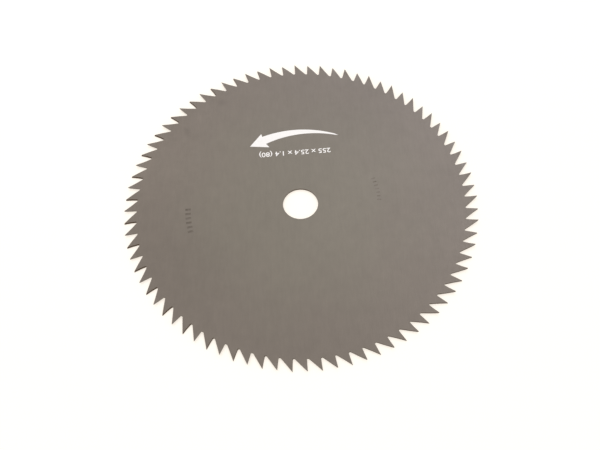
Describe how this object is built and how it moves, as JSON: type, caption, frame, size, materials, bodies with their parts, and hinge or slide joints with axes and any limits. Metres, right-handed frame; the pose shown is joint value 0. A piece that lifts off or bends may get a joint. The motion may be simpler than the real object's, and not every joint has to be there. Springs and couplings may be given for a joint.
{
  "type": "brush cutter saw blade",
  "caption": "Flat steel saw disc for a brush cutter: fine crosscut teeth round the rim, bent alternately up and down, and a plain centre bore that clamps between flanges.",
  "frame": {"origin": "centre of the bore at half the thickness of the flat plate", "axes": "+Z along the bore, out of the printed face; +X through the tip of a tooth that is bent up; the teeth cut counter-clockwise seen from +Z"},
  "size_m": [0.255, 0.255, 0.0022],
  "materials": {
    "coated_steel": "matte warm-grey clear-coated steel plate, with dark brown walls in its bore and round its teeth",
    "white_ink": "matte white screen-printed ink",
    "dark_mark": "dark marks burnt into the coat, matte"
  },
  "bodies": {
    "root": {"blade": "coated_steel"}
  },
  "joints": []
}
